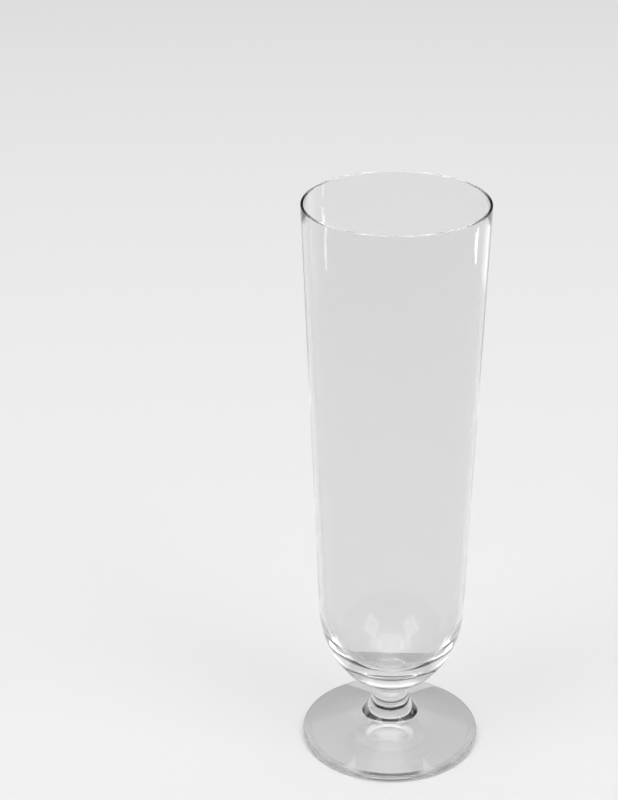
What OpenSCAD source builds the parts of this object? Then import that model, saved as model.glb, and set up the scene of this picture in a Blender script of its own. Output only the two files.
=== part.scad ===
// Pilsner glass on a short stem: a tall tapering bowl, a stem with a flared collar and a round foot.
// The three pieces are clear glass, turned about one axis and joined hot on flat seats.
// The origin is the centre of the ring on which the foot stands, and +Z runs up the axis.

/* [Bowl] */
// Height of the bowl, from its seat on the stem to the rim
bowl_height = 197.6; // [120:0.2:260]
// Diameter across the outside of the rim
rim_diameter = 67.4; // [60:0.2:90]
// Diameter of the rounded bottom at its widest
shoulder_diameter = 55.6; // [44:0.2:66]
// Height of the rounded bottom, from its lowest point to its widest
bottom_height = 36.2; // [24:0.2:60]
// Thickness of the wall at the rim
rim_wall = 1.1; // [0.8:0.1:2.4]
// Thickness of the wall at the shoulder
shoulder_wall = 1.8; // [1:0.1:4]
// Thickness of the glass between the seat on the stem and the inside of the bowl
base_thickness = 5.2; // [3:0.1:16]

/* [Stem] */
// Diameter of the straight shank
shank_diameter = 13.4; // [9:0.2:18]
// Length of the straight shank
shank_length = 1.5; // [0.5:0.1:40]
// Diameter of the collar in which the stem ends on the foot
collar_diameter = 22; // [20:0.5:32]
// Slope of the collar where it meets the foot, in degrees
collar_slope = 48; // [30:1:60]
// Radius of the small hollow curve from the shank out to the bowl
neck_sweep = 1.5; // [0.5:0.1:3]

/* [Foot] */
// Diameter across the foot
foot_diameter = 69; // [56:0.5:90]
// Thickness of the rounded edge of the foot
edge_thickness = 2.6; // [1.6:0.1:4]
// Slope of the upper side of the foot, in degrees
foot_slope = 19; // [8:1:22]
// Width of the flat ring on which the foot stands
resting_ring_width = 3; // [1.5:0.5:8]
// Depth of the hollow under the foot, at its centre
hollow_depth = 3; // [1:0.5:6]

/* [Hidden] */

// Steps along each curve of an outline, and round the axis
curve_steps = 24;
$fn = 180;

// The foot: its half-round edge carries the sloping upper side, which ends at the collar
edge_radius = edge_thickness / 2;
edge_centre_r = foot_diameter / 2 - edge_radius;
resting_ring_inner_r = edge_centre_r - resting_ring_width;
hollow_radius = (pow(resting_ring_inner_r, 2) + pow(hollow_depth, 2)) / (2 * hollow_depth);
slope_start = [edge_centre_r + edge_radius * sin(foot_slope), edge_radius * (1 + cos(foot_slope))];

// The stem: a hollow curve that rises from the edge of the collar, a straight shank and a short neck
shank_r = shank_diameter / 2;
collar_r = collar_diameter / 2;
collar_sweep = (collar_r - shank_r) / (1 - sin(collar_slope));
foot_seat_z = slope_start.y + (slope_start.x - collar_r) * tan(foot_slope);
shank_bottom_z = foot_seat_z + collar_sweep * cos(collar_slope);
shank_top_z = shank_bottom_z + shank_length;

// The bowl: an elliptical bottom cut flat at its seat, and straight walls that leave it without a kink
shoulder_r = shoulder_diameter / 2;
neck_reach_share = (shank_r + neck_sweep) / shoulder_r;
neck_slope = atan(bottom_height / shoulder_r * neck_reach_share / sqrt(1 - pow(neck_reach_share, 2)));
bowl_seat_r = shank_r + neck_sweep * (1 - sin(neck_slope));
bowl_seat_z = shank_top_z + neck_sweep * cos(neck_slope);
shoulder_z = bowl_seat_z + bottom_height * sqrt(1 - pow(bowl_seat_r / shoulder_r, 2));
rim_z = bowl_seat_z + bowl_height;
lip_radius = rim_wall / 2;
lip_centre = [rim_diameter / 2 - lip_radius, rim_z - lip_radius];
inside_r = shoulder_r - shoulder_wall;
inside_bottom_height = shoulder_z - bowl_seat_z - base_thickness;

// Points along an ellipse from one angle to another
function ellipse_arc(centre, radii, from, to) =
    [for (i = [0:curve_steps])
        let (turn = from + (to - from) * i / curve_steps)
        [centre.x + radii.x * cos(turn), centre.y + radii.y * sin(turn)]];

// Points along a circle from one angle to another
function arc(centre, radius, from, to) = ellipse_arc(centre, [radius, radius], from, to);

// Angle on an ellipse about the axis at which a straight wall to the given point leaves it
function wall_angle(radii, centre_z, point) =
    let (flat = [point.x, (point.y - centre_z) * radii.x / radii.y])
    atan2(flat.y, flat.x) - acos(radii.x / norm(flat));

// Bowl, with its rounded lip, its thick base and the flat seat on the stem
module bowl() {
    outside = [shoulder_r, bottom_height];
    inside = [inside_r, inside_bottom_height];
    centre = [0, shoulder_z];
    seat_angle = -acos(bowl_seat_r / shoulder_r);
    outer_end = wall_angle(outside, shoulder_z, lip_centre + [lip_radius, 0]);
    inner_end = wall_angle(inside, shoulder_z, lip_centre - [lip_radius, 0]);
    color([0.9, 0.93, 0.94, 0.45])
        rotate_extrude()
            polygon(concat(
                [[0, bowl_seat_z]],
                ellipse_arc(centre, outside, seat_angle, outer_end),
                arc(lip_centre, lip_radius, 0, 180),
                ellipse_arc(centre, inside, inner_end, -90)));
}

// Stem, solid from the collar that stands on the foot to the neck that carries the bowl
module stem() {
    color([0.82, 0.87, 0.9, 0.6])
        rotate_extrude()
            polygon(concat(
                [[0, foot_seat_z]],
                arc([shank_r + collar_sweep, shank_bottom_z], collar_sweep, 270 - collar_slope, 180),
                arc([shank_r + neck_sweep, shank_top_z], neck_sweep, 180, 90 + neck_slope),
                [[0, bowl_seat_z]]));
}

// Foot, a low cone with a half-round edge that stands on a flat ring round a shallow hollow
module foot() {
    hollow_angle = asin(resting_ring_inner_r / hollow_radius);
    color([0.76, 0.78, 0.8, 0.6])
        rotate_extrude()
            polygon(concat(
                arc([0, hollow_depth - hollow_radius], hollow_radius, 90, 90 - hollow_angle),
                arc([edge_centre_r, edge_radius], edge_radius, -90, 90 - foot_slope),
                [[collar_r, foot_seat_z], [0, foot_seat_z]]));
}

bowl();
stem();
foot();
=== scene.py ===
import math

import bpy
from mathutils import Matrix, Vector


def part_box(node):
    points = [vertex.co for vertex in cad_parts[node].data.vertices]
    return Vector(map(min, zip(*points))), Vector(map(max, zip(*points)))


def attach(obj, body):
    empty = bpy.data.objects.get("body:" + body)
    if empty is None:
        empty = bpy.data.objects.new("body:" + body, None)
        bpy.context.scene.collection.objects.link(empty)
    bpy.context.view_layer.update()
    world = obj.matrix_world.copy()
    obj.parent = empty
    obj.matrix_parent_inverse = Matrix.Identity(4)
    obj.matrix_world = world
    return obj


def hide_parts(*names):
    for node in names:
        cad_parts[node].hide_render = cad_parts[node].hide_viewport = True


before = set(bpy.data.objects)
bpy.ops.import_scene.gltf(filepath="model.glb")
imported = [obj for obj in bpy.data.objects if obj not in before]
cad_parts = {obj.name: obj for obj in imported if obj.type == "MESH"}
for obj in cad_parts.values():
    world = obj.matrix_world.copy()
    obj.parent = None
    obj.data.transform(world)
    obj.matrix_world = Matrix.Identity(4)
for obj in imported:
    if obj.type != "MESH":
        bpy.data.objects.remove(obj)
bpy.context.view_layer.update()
scene = bpy.context.scene
print("frame loaded:", ", ".join(sorted(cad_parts)))

number, count, tint = "NodeSocketFloat", "NodeSocketInt", "NodeSocketColor"
shape, finish = "NodeSocketGeometry", "NodeSocketMaterial"


# Small helpers for every kind of node tree

def feed(tree, value, socket):
    if isinstance(value, bpy.types.NodeSocket):
        tree.links.new(value, socket)
    elif value is not None:
        socket.default_value = value


def addNode(tree, kind, inputs=None, **settings):
    node = tree.nodes.new(kind)
    for name, value in settings.items():
        setattr(node, name, value)
    for name, value in (inputs or {}).items():
        feed(tree, value, node.inputs[name])
    return node


def calc(tree, operation, *values):
    node = addNode(tree, "ShaderNodeMath", operation=operation)
    for value, socket in zip(values, node.inputs):
        feed(tree, value, socket)
    return node.outputs[0]


def addSockets(tree, direction, sockets):
    for name, (kind, value) in sockets.items():
        socket = tree.interface.new_socket(name, in_out=direction, socket_type=kind)
        if value is not None:
            socket.default_value = value


# Turned strips: a piece's outline is a row of arcs and straight lines, each turned about +Z

def turnedStrip(tree, given, outline):
    # a flat grid from -0.5 to 0.5 is rolled up: X goes round the axis, Y along the outline
    grid = addNode(tree, "GeometryNodeMeshGrid", {
        "Size X": 1.0, "Size Y": 1.0,
        "Vertices X": calc(tree, "ADD", given["Turns"], 1.0),
        "Vertices Y": calc(tree, "ADD", given["Steps"], 1.0)})
    here = addNode(tree, "GeometryNodeInputPosition").outputs[0]
    onGrid = addNode(tree, "ShaderNodeSeparateXYZ", {"Vector": here}).outputs
    turn = calc(tree, "MULTIPLY", calc(tree, "ADD", onGrid["X"], 0.5), 2 * math.pi)
    radius, height = outline(calc(tree, "ADD", onGrid["Y"], 0.5))
    there = addNode(tree, "ShaderNodeCombineXYZ", {
        "X": calc(tree, "MULTIPLY", radius, calc(tree, "COSINE", turn)),
        "Y": calc(tree, "MULTIPLY", radius, calc(tree, "SINE", turn)),
        "Z": height})
    strip = addNode(tree, "GeometryNodeSetPosition",
                    {"Geometry": grid.outputs["Mesh"], "Position": there.outputs[0]})
    addNode(tree, "NodeGroupOutput", {"Geometry": strip.outputs[0]})
    return tree


def stripGroup(name, sockets):
    tree = bpy.data.node_groups.new(name, "GeometryNodeTree")
    addSockets(tree, "INPUT", {label: (number, 0.0) for label in sockets})
    addSockets(tree, "INPUT", {"Steps": (count, 24), "Turns": (count, 64)})
    addSockets(tree, "OUTPUT", {"Geometry": (shape, None)})
    return tree, addNode(tree, "NodeGroupInput").outputs


def makeTurnedArc():
    tree, given = stripGroup("turnedArc", (
        "Centre Radius", "Centre Height", "Reach Across", "Reach Up", "From Angle", "To Angle"))

    def outline(share):
        sweep = calc(tree, "SUBTRACT", given["To Angle"], given["From Angle"])
        angle = calc(tree, "MULTIPLY_ADD", sweep, share, given["From Angle"])
        across, up = calc(tree, "COSINE", angle), calc(tree, "SINE", angle)
        return (calc(tree, "MULTIPLY_ADD", given["Reach Across"], across, given["Centre Radius"]),
                calc(tree, "MULTIPLY_ADD", given["Reach Up"], up, given["Centre Height"]))

    return turnedStrip(tree, given, outline)


def makeTurnedLine():
    tree, given = stripGroup("turnedLine", (
        "From Radius", "From Height", "To Radius", "To Height"))

    def outline(share):
        return [calc(tree, "MULTIPLY_ADD",
                     calc(tree, "SUBTRACT", given["To " + way], given["From " + way]),
                     share, given["From " + way]) for way in ("Radius", "Height")]

    return turnedStrip(tree, given, outline)


turnedArc, turnedLine = makeTurnedArc(), makeTurnedLine()


# One tree for each piece: begin() names its sizes, the strips follow its outline, end() joins them

turning = {
    "turns": 256,  # faces round the axis
    "creaseAngle": math.radians(9),  # a sharper edge than this is a real corner
    "weldDistance": 2e-6,
}


def begin(name, sizes):
    tree = bpy.data.node_groups.new(name, "GeometryNodeTree")
    addSockets(tree, "INPUT", {label: (number, value) for label, value in sizes.items()})
    addSockets(tree, "INPUT", {
        "Turns": (count, turning["turns"]), "Crease Angle": (number, turning["creaseAngle"]),
        "Glass": (finish, None), "Fused Seat": (finish, None)})
    addSockets(tree, "OUTPUT", {"Geometry": (shape, None)})
    return tree, addNode(tree, "NodeGroupInput").outputs


def addStrip(tree, given, group, values, steps, seat=False):
    strip = addNode(tree, "GeometryNodeGroup", node_tree=group)
    for value, socket in zip((*values, steps, given["Turns"]), strip.inputs):
        feed(tree, value, socket)
    mark = addNode(tree, "GeometryNodeStoreNamedAttribute", data_type="BOOLEAN", domain="FACE")
    feed(tree, strip.outputs[0], mark.inputs["Geometry"])
    mark.inputs["Name"].default_value = "seat"
    mark.inputs["Value"].default_value = seat
    return mark.outputs[0]


def end(tree, given, strips):
    joined = addNode(tree, "GeometryNodeJoinGeometry")
    for strip in strips:
        tree.links.new(strip, joined.inputs[0])
    closed = addNode(tree, "GeometryNodeMergeByDistance",
                     {"Geometry": joined.outputs[0], "Distance": turning["weldDistance"]})
    smooth = addNode(tree, "GeometryNodeSetShadeSmooth",
                     {"Geometry": closed.outputs[0], "Shade Smooth": True})
    bend = addNode(tree, "GeometryNodeInputMeshEdgeAngle").outputs[0]
    corner = calc(tree, "GREATER_THAN", bend, given["Crease Angle"])
    creased = addNode(tree, "GeometryNodeSetShadeSmooth",
                      {"Geometry": smooth.outputs[0], "Selection": corner, "Shade Smooth": False},
                      domain="EDGE")
    real = addNode(tree, "GeometryNodeRealizeInstances", {"Geometry": creased.outputs[0]})
    glazed = addNode(tree, "GeometryNodeSetMaterial",
                     {"Geometry": real.outputs[0], "Material": given["Glass"]})
    onSeat = addNode(tree, "GeometryNodeInputNamedAttribute", {"Name": "seat"},
                     data_type="BOOLEAN")
    done = addNode(tree, "GeometryNodeSetMaterial",
                   {"Geometry": glazed.outputs[0], "Material": given["Fused Seat"],
                    "Selection": onSeat.outputs["Attribute"]})
    addNode(tree, "NodeGroupOutput", {"Geometry": done.outputs[0]})
    return tree


def turnPiece(name, tree, sizes, glass):
    values = {**sizes, "Glass": glass, "Fused Seat": fusedSeat}
    piece = bpy.data.objects.new(name, bpy.data.meshes.new(name))
    scene.collection.objects.link(piece)
    lathe = piece.modifiers.new("lathe", "NODES")
    lathe.node_group = tree
    for item in tree.interface.items_tree:
        if item.in_out == "INPUT" and item.name in values:
            lathe[item.identifier] = values[item.name]
    ready = piece.evaluated_get(bpy.context.evaluated_depsgraph_get())
    mesh = bpy.data.meshes.new_from_object(ready)
    piece.modifiers.clear()
    piece.data = mesh
    mesh.name = name
    mesh.attributes.remove(mesh.attributes["seat"])
    print(name, "turned:", len(mesh.vertices), "points,", len(mesh.polygons), "faces")
    return piece


# Effects shared by the three glasses

def makeBlownWaves():
    # the slight waviness of blown and fire-polished glass, as a height for a Bump node
    tree = bpy.data.node_groups.new("blownWaves", "ShaderNodeTree")
    addSockets(tree, "INPUT", {
        "Scale": (number, 60.0), "Upright Stretch": (number, 0.3),
        "Fine Scale": (number, 4.0), "Fine Share": (number, 0.2)})  # fine waves, by the broad ones
    addSockets(tree, "OUTPUT", {"Height": (number, None)})
    given = addNode(tree, "NodeGroupInput").outputs
    place = addNode(tree, "ShaderNodeTexCoord").outputs["Object"]
    stretch = addNode(tree, "ShaderNodeCombineXYZ",
                      {"X": 1.0, "Y": 1.0, "Z": given["Upright Stretch"]}).outputs[0]
    stretched = addNode(tree, "ShaderNodeVectorMath", {0: place, 1: stretch},
                        operation="MULTIPLY").outputs[0]
    broad = addNode(tree, "ShaderNodeTexNoise", {
        "Vector": stretched, "Scale": given["Scale"], "Detail": 1.0}).outputs["Fac"]
    fineScale = calc(tree, "MULTIPLY", given["Scale"], given["Fine Scale"])
    fine = addNode(tree, "ShaderNodeTexNoise", {
        "Vector": stretched, "Scale": fineScale, "Detail": 2.0}).outputs["Fac"]
    height = calc(tree, "MULTIPLY_ADD", fine, given["Fine Share"], broad)
    addNode(tree, "NodeGroupOutput", {"Height": height})
    return tree


def makeHandlingMarks():
    # faint smears of handling and drying: they raise the roughness a little where they lie
    tree = bpy.data.node_groups.new("handlingMarks", "ShaderNodeTree")
    addSockets(tree, "INPUT", {
        "Scale": (number, 45.0), "Cover": (number, 0.35),
        "Clean Roughness": (number, 0.0), "Marked Roughness": (number, 0.04)})
    addSockets(tree, "OUTPUT", {"Roughness": (number, None)})
    given = addNode(tree, "NodeGroupInput").outputs
    place = addNode(tree, "ShaderNodeTexCoord").outputs["Object"]
    cloud = addNode(tree, "ShaderNodeTexNoise", {
        "Vector": place, "Scale": given["Scale"], "Detail": 5.0, "Roughness": 0.6,
        "Distortion": 0.6}).outputs["Fac"]
    smears = addNode(tree, "ShaderNodeMapRange", {
        "Value": cloud, "From Min": calc(tree, "SUBTRACT", 1.0, given["Cover"]),
        "From Max": 1.0}, interpolation_type="SMOOTHSTEP").outputs[0]
    span = calc(tree, "SUBTRACT", given["Marked Roughness"], given["Clean Roughness"])
    rough = calc(tree, "MULTIPLY_ADD", smears, span, given["Clean Roughness"])
    addNode(tree, "NodeGroupOutput", {"Roughness": rough})
    return tree


def makeGlassTone():
    # the tint of the melt, which drifts a little through the glass; the foot's darker tint is
    # painted shade
    tree = bpy.data.node_groups.new("glassTone", "ShaderNodeTree")
    addSockets(tree, "INPUT", {
        "Clear": (tint, (0.99, 0.995, 0.995, 1)), "Deep": (tint, (0.97, 0.98, 0.98, 1)),
        "Scale": (number, 20.0)})
    addSockets(tree, "OUTPUT", {"Color": (tint, None)})
    given = addNode(tree, "NodeGroupInput").outputs
    place = addNode(tree, "ShaderNodeTexCoord").outputs["Object"]
    drift = addNode(tree, "ShaderNodeTexNoise", {
        "Vector": place, "Scale": given["Scale"], "Detail": 1.0}).outputs["Fac"]
    mixed = addNode(tree, "ShaderNodeMix", {"Factor": drift}, data_type="RGBA")
    feed(tree, given["Clear"], mixed.inputs[6])  # the Mix node's two colours and its colour result
    feed(tree, given["Deep"], mixed.inputs[7])
    addNode(tree, "NodeGroupOutput", {"Color": mixed.outputs[2]})
    return tree


blownWaves, handlingMarks, glassTone = makeBlownWaves(), makeHandlingMarks(), makeGlassTone()


def addGroup(tree, group, values):
    return addNode(tree, "ShaderNodeGroup", values, node_tree=group).outputs[0]


def makeGlass(name, look, roughnessOf=None):
    glass = bpy.data.materials.new(name)
    glass.use_nodes = True
    tree = glass.node_tree
    shader = tree.nodes["Principled BSDF"]
    shader.inputs["Transmission Weight"].default_value = 1.0
    shader.inputs["Metallic"].default_value = 0.0
    shader.inputs["IOR"].default_value = look["ior"]
    tone = addGroup(tree, glassTone, {"Clear": look["clear"], "Deep": look["deep"]})
    feed(tree, tone, shader.inputs["Base Color"])
    rough = addGroup(tree, handlingMarks, {
        "Scale": look["markScale"], "Cover": look["markCover"],
        "Marked Roughness": look["markRoughness"]})
    if roughnessOf:
        rough = roughnessOf(tree, rough)
    feed(tree, rough, shader.inputs["Roughness"])
    waves = addGroup(tree, blownWaves, {
        "Scale": look["waveScale"], "Upright Stretch": look["waveStretch"]})
    bump = addNode(tree, "ShaderNodeBump", {
        "Height": waves, "Strength": 1.0, "Distance": look["waveDepth"]})
    feed(tree, bump.outputs[0], shader.inputs["Normal"])
    print(name, "mixed")
    return glass


def makeFusedSeat():
    # where two pieces were joined hot there is no surface to see
    seat = bpy.data.materials.new("fusedSeat")
    seat.use_nodes = True
    shader = seat.node_tree.nodes["Principled BSDF"]
    shader.inputs["Base Color"].default_value = (1.0, 1.0, 1.0, 1.0)
    shader.inputs["Alpha"].default_value = 0.0
    return seat


fusedSeat = makeFusedSeat()
bowlBox, stemBox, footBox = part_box("bowl"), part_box("stem"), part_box("foot")


# Stem: from the edge of its collar on the foot up to the neck that carries the bowl

stemSettings = {  # lengths are in metres, and the melt's tint drifts between clear and deep
    "shankRadius": 0.0067,
    "neckSweep": 0.0015,
    "neckSlope": math.radians(21.9),  # where it runs into the bowl's rounded bottom
    "collarRadius": 0.011,
    "collarSlope": math.radians(48),
    "clear": (0.94, 0.941, 0.941, 1), "deep": (0.90, 0.901, 0.901, 1), "ior": 1.52,
    "markScale": 60.0, "markCover": 0.35, "markRoughness": 0.03,
    "waveScale": 90.0, "waveStretch": 0.5, "waveDepth": 0.000003,
}
neckFlare = stemSettings["neckSweep"] * (1 - math.sin(stemSettings["neckSlope"]))
neckRadius = stemSettings["shankRadius"] + neckFlare
stemSizes = {
    "Collar Radius": stemSettings["collarRadius"], "Collar Height": stemBox[0][2],
    "Collar Slope": stemSettings["collarSlope"], "Shank Radius": stemSettings["shankRadius"],
    "Neck Sweep": stemSettings["neckSweep"], "Neck Slope": stemSettings["neckSlope"],
    "Neck Radius": neckRadius, "Neck Height": stemBox[1][2],
}


def makeStemTree(sizes):
    tree, given = begin("stemTurning", sizes)
    collar, bottom = given["Collar Radius"], given["Collar Height"]
    neck, top = given["Neck Radius"], given["Neck Height"]
    shank, neckSweep = given["Shank Radius"], given["Neck Sweep"]
    reach = calc(tree, "SUBTRACT", collar, shank)
    flare = calc(tree, "SUBTRACT", 1.0, calc(tree, "SINE", given["Collar Slope"]))
    sweep = calc(tree, "DIVIDE", reach, flare)
    rise = calc(tree, "COSINE", given["Collar Slope"])
    low = calc(tree, "MULTIPLY_ADD", sweep, rise, bottom)
    drop = calc(tree, "MULTIPLY", neckSweep, calc(tree, "COSINE", given["Neck Slope"]))
    high = calc(tree, "SUBTRACT", top, drop)
    collarCentre = calc(tree, "ADD", shank, sweep)
    neckCentre = calc(tree, "ADD", shank, neckSweep)
    collarFrom = calc(tree, "SUBTRACT", 1.5 * math.pi, given["Collar Slope"])
    neckTo = calc(tree, "ADD", 0.5 * math.pi, given["Neck Slope"])
    return end(tree, given, [
        addStrip(tree, given, turnedLine, (0.0, bottom, collar, bottom), steps=1, seat=True),
        addStrip(tree, given, turnedArc,
                 (collarCentre, low, sweep, sweep, collarFrom, math.pi), steps=64),
        addStrip(tree, given, turnedLine, (shank, low, shank, high), steps=6),
        addStrip(tree, given, turnedArc,
                 (neckCentre, high, neckSweep, neckSweep, math.pi, neckTo), steps=24),
        addStrip(tree, given, turnedLine, (neck, top, 0.0, top), steps=1, seat=True)])


stemGlass = makeGlass("stemGlass", stemSettings)
stem = turnPiece("stemPiece", makeStemTree(stemSizes), stemSizes, stemGlass)


# Bowl: an elliptical bottom cut flat at its seat, straight walls and a rounded lip

bowlSettings = {
    "shoulderRadius": 0.0278,
    "bottomHeight": 0.0362,
    "rimWall": 0.0011,
    "shoulderWall": 0.0018,
    "baseThickness": 0.0052,
    "clear": (0.90, 0.901, 0.901, 1), "deep": (0.88, 0.881, 0.881, 1), "ior": 1.52,
    "markScale": 40.0, "markCover": 0.35, "markRoughness": 0.03,
    "waveScale": 60.0, "waveStretch": 0.15, "waveDepth": 0.000003,
    "lipRoughness": 0.06, "lipTop": 0.0006,  # full from this far under the top of the rim
}
bowlSizes = {
    "Seat Radius": neckRadius, "Seat Height": bowlBox[0][2],
    "Shoulder Radius": bowlSettings["shoulderRadius"],
    "Bottom Height": bowlSettings["bottomHeight"],
    "Shoulder Wall": bowlSettings["shoulderWall"],
    "Base Thickness": bowlSettings["baseThickness"],
    "Rim Radius": bowlBox[1][0], "Rim Height": bowlBox[1][2],
    "Rim Wall": bowlSettings["rimWall"],
}


def wallAngle(tree, across, up, centreHeight, radius, height):
    # the angle on an ellipse at which a straight wall up to a point of the lip leaves it
    above = calc(tree, "SUBTRACT", height, centreHeight)
    flat = calc(tree, "DIVIDE", calc(tree, "MULTIPLY", above, across), up)
    squares = calc(tree, "MULTIPLY_ADD", radius, radius, calc(tree, "MULTIPLY", flat, flat))
    lean = calc(tree, "ARCCOSINE", calc(tree, "DIVIDE", across, calc(tree, "SQRT", squares)))
    return calc(tree, "SUBTRACT", calc(tree, "ARCTAN2", flat, radius), lean)


def onEllipse(tree, across, up, centreHeight, angle):
    return (calc(tree, "MULTIPLY", across, calc(tree, "COSINE", angle)),
            calc(tree, "MULTIPLY_ADD", up, calc(tree, "SINE", angle), centreHeight))


def makeBowlTree(sizes):
    tree, given = begin("bowlTurning", sizes)
    seat, bottom = given["Seat Radius"], given["Seat Height"]
    across, up = given["Shoulder Radius"], given["Bottom Height"]
    rim, rimWall = given["Rim Radius"], given["Rim Wall"]
    share = calc(tree, "DIVIDE", seat, across)
    seatAngle = calc(tree, "MULTIPLY", calc(tree, "ARCCOSINE", share), -1.0)
    underShoulder = calc(tree, "MULTIPLY", up, calc(tree, "SINE", seatAngle))
    shoulder = calc(tree, "SUBTRACT", bottom, underShoulder)
    inAcross = calc(tree, "SUBTRACT", across, given["Shoulder Wall"])
    depth = calc(tree, "SUBTRACT", shoulder, bottom)
    inUp = calc(tree, "SUBTRACT", depth, given["Base Thickness"])
    lip = calc(tree, "MULTIPLY", rimWall, 0.5)
    lipRadius = calc(tree, "SUBTRACT", rim, lip)
    lipHeight = calc(tree, "SUBTRACT", given["Rim Height"], lip)
    innerRim = calc(tree, "SUBTRACT", rim, rimWall)
    outAngle = wallAngle(tree, across, up, shoulder, rim, lipHeight)
    inAngle = wallAngle(tree, inAcross, inUp, shoulder, innerRim, lipHeight)
    outFoot = onEllipse(tree, across, up, shoulder, outAngle)
    inFoot = onEllipse(tree, inAcross, inUp, shoulder, inAngle)
    return end(tree, given, [
        addStrip(tree, given, turnedLine, (0.0, bottom, seat, bottom), steps=1, seat=True),
        addStrip(tree, given, turnedArc,
                 (0.0, shoulder, across, up, seatAngle, outAngle), steps=80),
        addStrip(tree, given, turnedLine, (*outFoot, rim, lipHeight), steps=30),
        addStrip(tree, given, turnedArc, (lipRadius, lipHeight, lip, lip, 0.0, math.pi), steps=32),
        addStrip(tree, given, turnedLine, (innerRim, lipHeight, *inFoot), steps=30),
        addStrip(tree, given, turnedArc,
                 (0.0, shoulder, inAcross, inUp, inAngle, -0.5 * math.pi), steps=90)])


def satinLip(tree, rough):
    # the lip is ground and polished again in the flame, which leaves it softer than the wall
    top = bowlBox[1][2]
    place = addNode(tree, "ShaderNodeTexCoord").outputs["Object"]
    height = addNode(tree, "ShaderNodeSeparateXYZ", {"Vector": place}).outputs["Z"]
    lip = addNode(tree, "ShaderNodeMapRange", {
        "Value": height, "From Min": top - bowlSettings["rimWall"],
        "From Max": top - bowlSettings["lipTop"], "To Max": bowlSettings["lipRoughness"]})
    return calc(tree, "MAXIMUM", rough, lip.outputs[0])


bowlGlass = makeGlass("bowlGlass", bowlSettings, satinLip)
bowl = turnPiece("bowlPiece", makeBowlTree(bowlSizes), bowlSizes, bowlGlass)


# Foot: a low cone with a half-round edge, on a flat ring round a shallow hollow

footSettings = {
    "edgeThickness": 0.0026,
    "topSlope": math.radians(19),
    "restingRingWidth": 0.003,
    "hollowDepth": 0.003,
    # painted shade: the foot's clear and deep tints are darker than the bowl's and stem's, which
    # paints in the shade of the floor seen through the foot
    "clear": (0.855, 0.856, 0.856, 1), "deep": (0.79, 0.791, 0.791, 1), "ior": 1.52,
    "markScale": 50.0, "markCover": 0.35, "markRoughness": 0.03,
    "waveScale": 60.0, "waveStretch": 1.0, "waveDepth": 0.000003,
    "edgeRoughness": 0.1, "edgeRim": 0.0008,  # full from this far inside the outermost edge
    "scuffRoughness": 0.2, "scuffScale": 1500.0,
    "scuffTop": 0.0003, "scuffBottom": 0.00005,  # heights between which the scuffs fade in
}
footSizes = {
    "Foot Radius": footBox[1][0], "Edge Thickness": footSettings["edgeThickness"],
    "Top Slope": footSettings["topSlope"],
    "Resting Ring Width": footSettings["restingRingWidth"],
    "Hollow Depth": footSettings["hollowDepth"],
    "Collar Radius": stemSettings["collarRadius"], "Collar Height": footBox[1][2],
}


def makeFootTree(sizes):
    tree, given = begin("footTurning", sizes)
    collar, top, depth = given["Collar Radius"], given["Collar Height"], given["Hollow Depth"]
    edge = calc(tree, "MULTIPLY", given["Edge Thickness"], 0.5)
    edgeCentre = calc(tree, "SUBTRACT", given["Foot Radius"], edge)
    ring = calc(tree, "SUBTRACT", edgeCentre, given["Resting Ring Width"])
    squares = calc(tree, "MULTIPLY_ADD", ring, ring, calc(tree, "MULTIPLY", depth, depth))
    hollow = calc(tree, "DIVIDE", squares, calc(tree, "MULTIPLY", depth, 2.0))
    hollowCentre = calc(tree, "SUBTRACT", depth, hollow)
    hollowEnd = calc(tree, "ARCCOSINE", calc(tree, "DIVIDE", ring, hollow))
    slopeAngle = calc(tree, "SUBTRACT", 0.5 * math.pi, given["Top Slope"])
    slopeRadius = calc(tree, "MULTIPLY_ADD", edge, calc(tree, "COSINE", slopeAngle), edgeCentre)
    slopeHeight = calc(tree, "MULTIPLY_ADD", edge, calc(tree, "SINE", slopeAngle), edge)
    return end(tree, given, [
        addStrip(tree, given, turnedArc,
                 (0.0, hollowCentre, hollow, hollow, 0.5 * math.pi, hollowEnd), steps=64),
        addStrip(tree, given, turnedLine, (ring, 0.0, edgeCentre, 0.0), steps=4),
        addStrip(tree, given, turnedArc,
                 (edgeCentre, edge, edge, edge, -0.5 * math.pi, slopeAngle), steps=36),
        addStrip(tree, given, turnedLine, (slopeRadius, slopeHeight, collar, top), steps=16),
        addStrip(tree, given, turnedLine, (collar, top, 0.0, top), steps=1, seat=True)])


def wornFoot(tree, rough):
    # a softer polish on the rounded edge, and fine scuffs where the resting ring meets the table
    outermost = footBox[1][0]
    place = addNode(tree, "ShaderNodeTexCoord").outputs["Object"]
    level = addNode(tree, "ShaderNodeVectorMath", {0: place, 1: (1.0, 1.0, 0.0)},
                    operation="MULTIPLY").outputs[0]
    radius = addNode(tree, "ShaderNodeVectorMath", {0: level}, operation="LENGTH")
    edge = addNode(tree, "ShaderNodeMapRange", {
        "Value": radius.outputs["Value"],
        "From Min": outermost - footSettings["edgeThickness"] / 2,
        "From Max": outermost - footSettings["edgeRim"], "To Max": footSettings["edgeRoughness"]})
    height = addNode(tree, "ShaderNodeSeparateXYZ", {"Vector": place}).outputs["Z"]
    low = addNode(tree, "ShaderNodeMapRange", {
        "Value": height, "From Min": footSettings["scuffTop"],
        "From Max": footSettings["scuffBottom"]})
    grit = addNode(tree, "ShaderNodeTexNoise", {
        "Vector": place, "Scale": footSettings["scuffScale"], "Detail": 3.0}).outputs["Fac"]
    gritRoughness = calc(tree, "MULTIPLY", grit, footSettings["scuffRoughness"])
    scuffs = calc(tree, "MULTIPLY", low.outputs[0], gritRoughness)
    return calc(tree, "MAXIMUM", calc(tree, "MAXIMUM", rough, edge.outputs[0]), scuffs)


footGlass = makeGlass("footGlass", footSettings, wornFoot)
foot = turnPiece("footPiece", makeFootTree(footSizes), footSizes, footGlass)

for piece, node in ((bowl, "bowl"), (stem, "stem"), (foot, "foot")):
    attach(piece, "root")
    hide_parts(node)
print("the three pieces ride on root")


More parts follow.
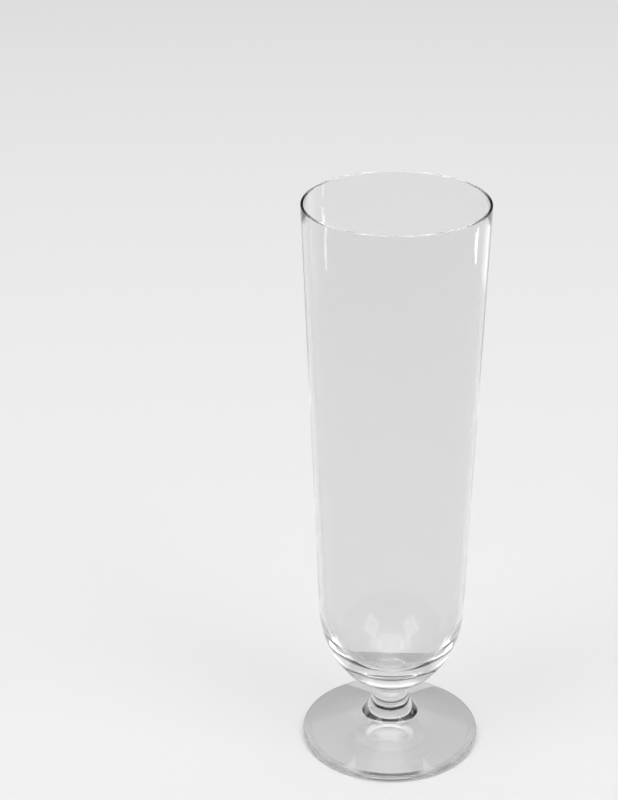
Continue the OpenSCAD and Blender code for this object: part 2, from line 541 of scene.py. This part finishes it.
# Stage: a pale floor, a dome of light that is dark near the horizon, softboxes and strips

floorSettings = {
    "radius": 20.0, "sides": 96,
    "height": -0.0001,  # a hair under the resting ring, so that the faces don't coincide
    "shade": 0.8, "roughness": 0.9, "gloss": 0.1,
}


def makeFloor(look):
    mesh = bpy.data.meshes.new("floor")
    sides, radius = look["sides"], look["radius"]
    corners = [(radius * math.cos(math.tau * k / sides), radius * math.sin(math.tau * k / sides),
                look["height"]) for k in range(sides)]
    mesh.from_pydata(corners, [], [list(range(sides))])
    floor = bpy.data.objects.new("floor", mesh)
    scene.collection.objects.link(floor)
    paper = bpy.data.materials.new("floorPaper")
    paper.use_nodes = True
    shader = paper.node_tree.nodes["Principled BSDF"]
    shader.inputs["Base Color"].default_value = (look["shade"],) * 3 + (1.0,)
    shader.inputs["Roughness"].default_value = look["roughness"]
    shader.inputs["Specular IOR Level"].default_value = look["gloss"]
    mesh.materials.append(paper)


domeSettings = {  # the dark band at the horizon draws the dark outlines of clear glass
    "dome": 0.64, "dark": 0.01, "darkTop": math.radians(25), "blur": math.radians(8),
}


def makeDome(look):
    world = bpy.data.worlds.new("dome")
    world.use_nodes = True
    tree = world.node_tree
    toward = addNode(tree, "ShaderNodeTexCoord").outputs["Generated"]
    ways = addNode(tree, "ShaderNodeSeparateXYZ", {"Vector": toward}).outputs
    glow = addNode(tree, "ShaderNodeMapRange", {
        "Value": calc(tree, "ARCSINE", ways["Z"]),
        "From Min": look["darkTop"] - look["blur"] / 2,
        "From Max": look["darkTop"] + look["blur"] / 2,
        "To Min": look["dark"], "To Max": look["dome"]}, interpolation_type="SMOOTHSTEP")
    feed(tree, glow.outputs[0], tree.nodes["Background"].inputs["Strength"])
    tree.nodes["Background"].inputs["Color"].default_value = (1.0, 1.0, 1.0, 1.0)
    scene.world = world


# azimuth from +Y towards +X, elevation and distance as seen from the glass, turn about the lamp's
# own axis, in degrees and metres; a glow of 1 shows as white
lamps = {
    "softboxLeft": {"azimuth": -125, "elevation": 44, "distance": 2.5,
                    "size": (1.34, 1.07), "glow": 2.6, "turn": -25},
    "softboxRight": {"azimuth": 125, "elevation": 44, "distance": 2.5,
                     "size": (1.34, 1.07), "glow": 2.6, "turn": 25},
    "softboxTop": {"azimuth": 0, "elevation": 90, "distance": 2.9,
                   "size": (2.35, 2.35), "glow": 2.0},
}
lampAim = Vector((0.0, 0.0, 0.05))

# upright strips beside and behind the glass, which only its walls reflect
strips = {
    "stripRight": {"azimuth": 69, "distance": 0.36, "low": 0.055, "high": 0.09,
                   "width": 0.024, "glow": 3.8},
    "stripBehind": {"azimuth": 37, "distance": 0.45, "low": 0.0, "high": 0.14,
                    "width": 0.20, "glow": 0.3},
}


def makeLamp(name, look):
    lamp = bpy.data.lights.new(name, "AREA")
    lamp.shape = "RECTANGLE"
    lamp.size, lamp.size_y = look["size"]
    lamp.energy = look["glow"] * math.pi * lamp.size * lamp.size_y
    azimuth, elevation = math.radians(look["azimuth"]), math.radians(look["elevation"])
    away = Vector((math.sin(azimuth) * math.cos(elevation),
                   math.cos(azimuth) * math.cos(elevation), math.sin(elevation)))
    holder = bpy.data.objects.new(name, lamp)
    facing = away.to_track_quat("Z", "Y").to_matrix().to_4x4()
    turned = facing @ Matrix.Rotation(math.radians(look.get("turn", 0.0)), 4, "Z")
    holder.matrix_world = Matrix.Translation(lampAim + look["distance"] * away) @ turned
    holder.visible_camera = False
    holder.visible_diffuse = look.get("lightsFloor", True)
    scene.collection.objects.link(holder)


def makeStrip(name, look):
    middle = (look["low"] + look["high"]) / 2 - lampAim.z
    makeLamp(name, {
        "azimuth": look["azimuth"],
        "elevation": math.degrees(math.atan2(middle, look["distance"])),
        "distance": math.hypot(middle, look["distance"]), "glow": look["glow"],
        "size": (look["width"], look["high"] - look["low"]), "lightsFloor": False})


makeFloor(floorSettings)
makeDome(domeSettings)
for name, look in lamps.items():
    makeLamp(name, look)
for name, look in strips.items():
    makeStrip(name, look)
print("stage ready")


# Camera at the photograph's place

cameraSettings = {
    "distance": 0.66008, "height": 0.46139,
    "yaw": math.radians(-2.70), "pitch": math.radians(25.59), "roll": math.radians(-0.42),
    "lens": 89.91, "sensor": 36.0,
}


def makeCamera(setup):
    yaw, pitch, roll = setup["yaw"], setup["pitch"], setup["roll"]
    ahead = Vector((math.sin(yaw) * math.cos(pitch), math.cos(yaw) * math.cos(pitch),
                    -math.sin(pitch)))
    right = Vector((math.cos(yaw), -math.sin(yaw), 0.0))
    up = right.cross(ahead)
    tilted = math.cos(roll) * right + math.sin(roll) * up
    raised = math.cos(roll) * up - math.sin(roll) * right
    matrix = Matrix((tilted, raised, -ahead)).transposed().to_4x4()
    matrix.translation = Vector((0.0, -setup["distance"], setup["height"]))
    lens = bpy.data.cameras.new("camera")
    lens.lens, lens.sensor_width = setup["lens"], setup["sensor"]
    camera = bpy.data.objects.new("camera", lens)
    camera.matrix_world = matrix
    scene.collection.objects.link(camera)
    scene.camera = camera


makeCamera(cameraSettings)
print("camera placed")


# Light paths: light that enters the lip runs down inside the wall before it leaves, and with the
# usual filter of 1 too little light gets through the glass onto the floor under the foot

lightPaths = {"bounces": 256, "seeThrough": 64, "glossyFilter": 0.1}

scene.cycles.max_bounces = lightPaths["bounces"]
scene.cycles.transmission_bounces = lightPaths["bounces"]
scene.cycles.glossy_bounces = lightPaths["bounces"]
scene.cycles.transparent_max_bounces = lightPaths["seeThrough"]
scene.cycles.blur_glossy = lightPaths["glossyFilter"]
scene.view_settings.view_transform = "Standard"

print("scene ready")
